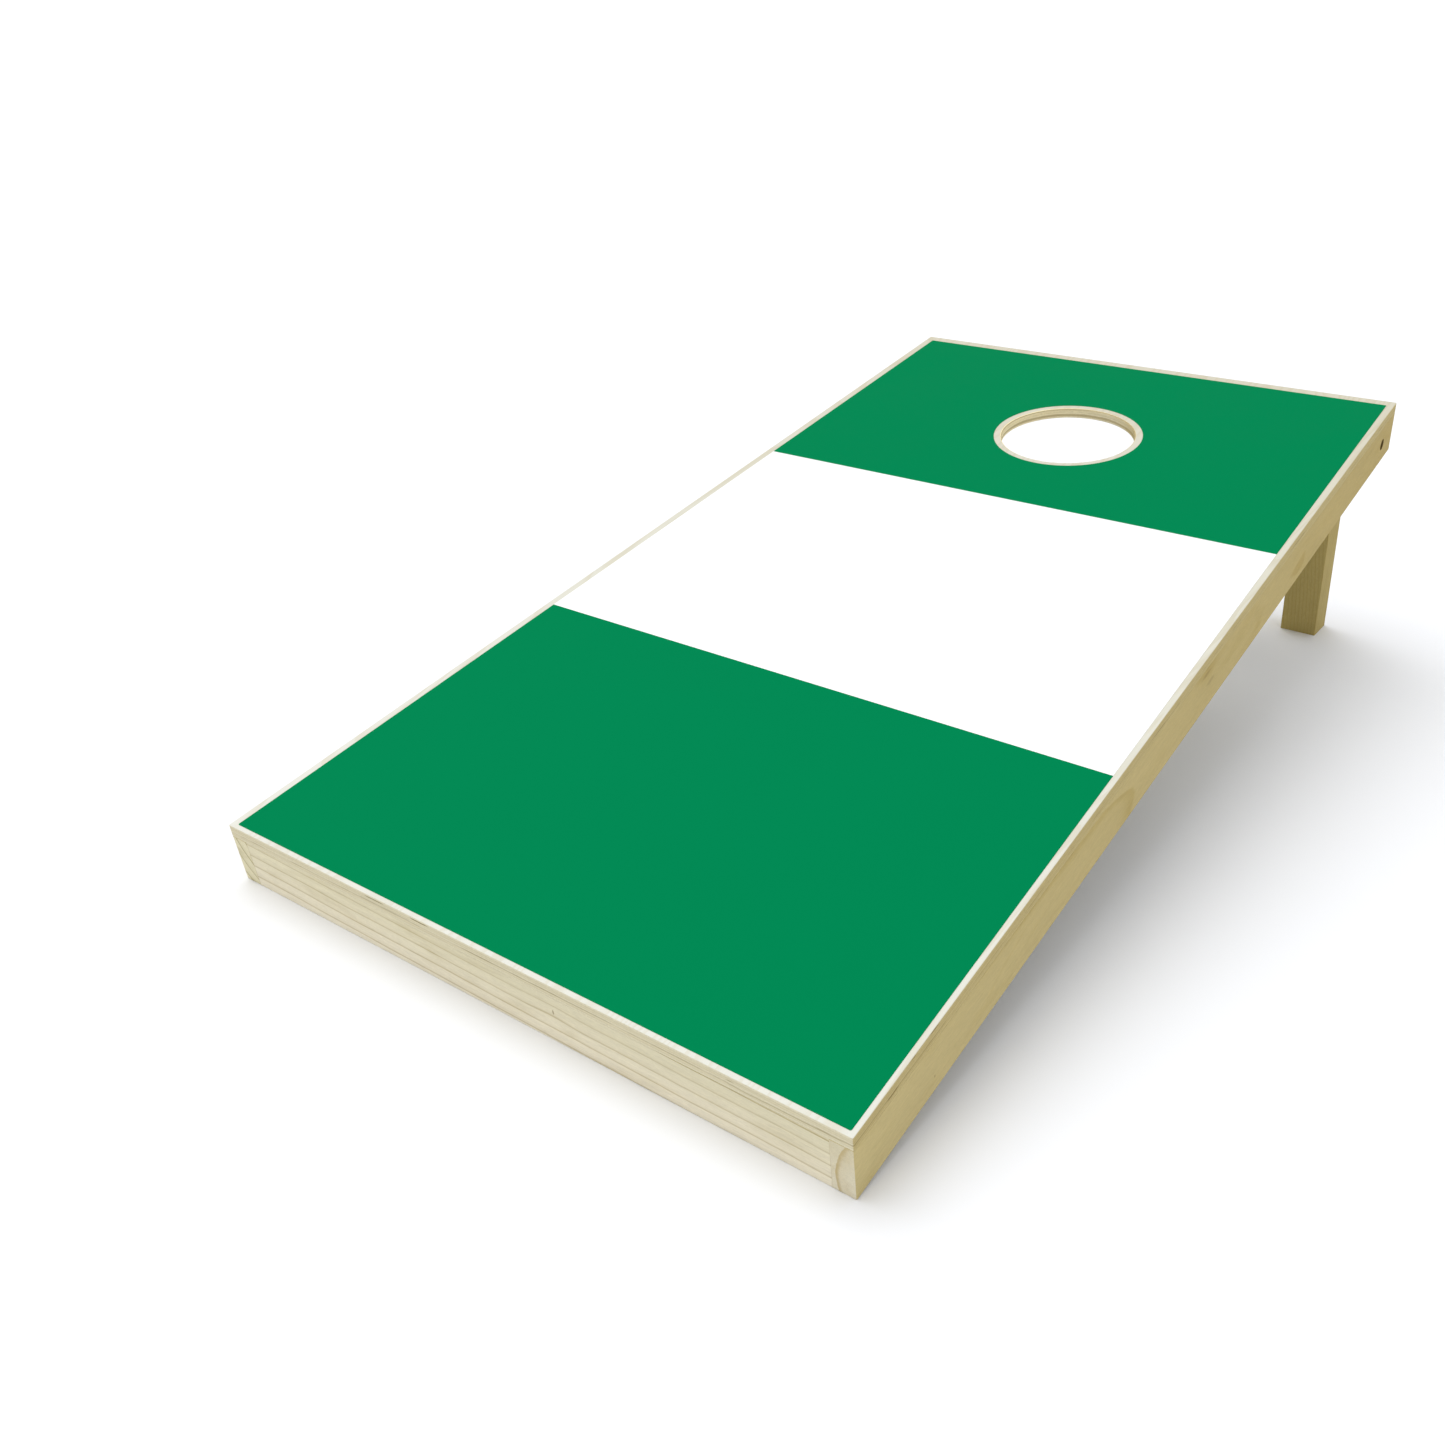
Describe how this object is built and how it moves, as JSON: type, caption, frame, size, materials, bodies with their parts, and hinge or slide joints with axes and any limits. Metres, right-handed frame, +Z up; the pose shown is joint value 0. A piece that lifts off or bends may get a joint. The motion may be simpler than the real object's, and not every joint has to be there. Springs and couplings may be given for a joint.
{
  "type": "cornhole board",
  "caption": "Pitched cornhole board: plywood deck with a round bag hole and coloured film bands on a softwood frame, with legs that fold flat under the deck.",
  "frame": {"origin": "on the ground plane, at the bottom centre of the standing board's bounding box", "axes": "+Z up; +Y from the low foot end to the high head end; +X to the right of a player who faces the board from its foot"},
  "size_m": [0.6096, 1.2472, 0.3045],
  "materials": {
    "plywood": "bare birch-faced plywood, sanded, with its layers showing at the edges",
    "softwood": "bare planed softwood, satin",
    "leg_softwood": "bare planed softwood, satin",
    "green_film": "smooth satin film",
    "white_film": "smooth satin film",
    "zinc_steel": "bright zinc plate",
    "dark_bolt": "black oxide",
    "nylon": "natural nylon"
  },
  "bodies": {
    "board": {"block_screws_left": "zinc_steel", "block_screws_right": "zinc_steel", "brace_screws": "zinc_steel", "cross_brace": "softwood", "deck_brads": "zinc_steel", "deck_panel": "plywood", "film_centre_band": "white_film", "film_foot_band": "green_film", "film_head_band": "green_film", "foot_rail": "softwood", "foot_rail_screws": "zinc_steel", "head_rail": "softwood", "head_rail_screws": "zinc_steel", "head_washer_left": "dark_bolt", "head_washer_right": "dark_bolt", "lock_nut_left": "zinc_steel", "lock_nut_right": "zinc_steel", "nut_washer_left": "zinc_steel", "nut_washer_right": "zinc_steel", "pivot_block_left": "softwood", "pivot_block_right": "softwood", "pivot_bolt_left": "dark_bolt", "pivot_bolt_right": "dark_bolt", "side_rail_left": "softwood", "side_rail_right": "softwood", "spacer_washer_left": "nylon", "spacer_washer_right": "nylon"},
    "left_leg": {"leg_left": "leg_softwood"},
    "right_leg": {"leg_right": "leg_softwood"}
  },
  "joints": [
    {"name": "left_leg_fold", "type": "hinge", "parent": "board", "child": "left_leg", "pos_m": [-0.2462, 0.53633, 0.26126], "axis": [1, 0, 0], "range_deg": [-92, 0]},
    {"name": "right_leg_fold", "type": "hinge", "parent": "board", "child": "right_leg", "pos_m": [0.2462, 0.53633, 0.26126], "axis": [1, 0, 0], "range_deg": [-92, 0]}
  ]
}
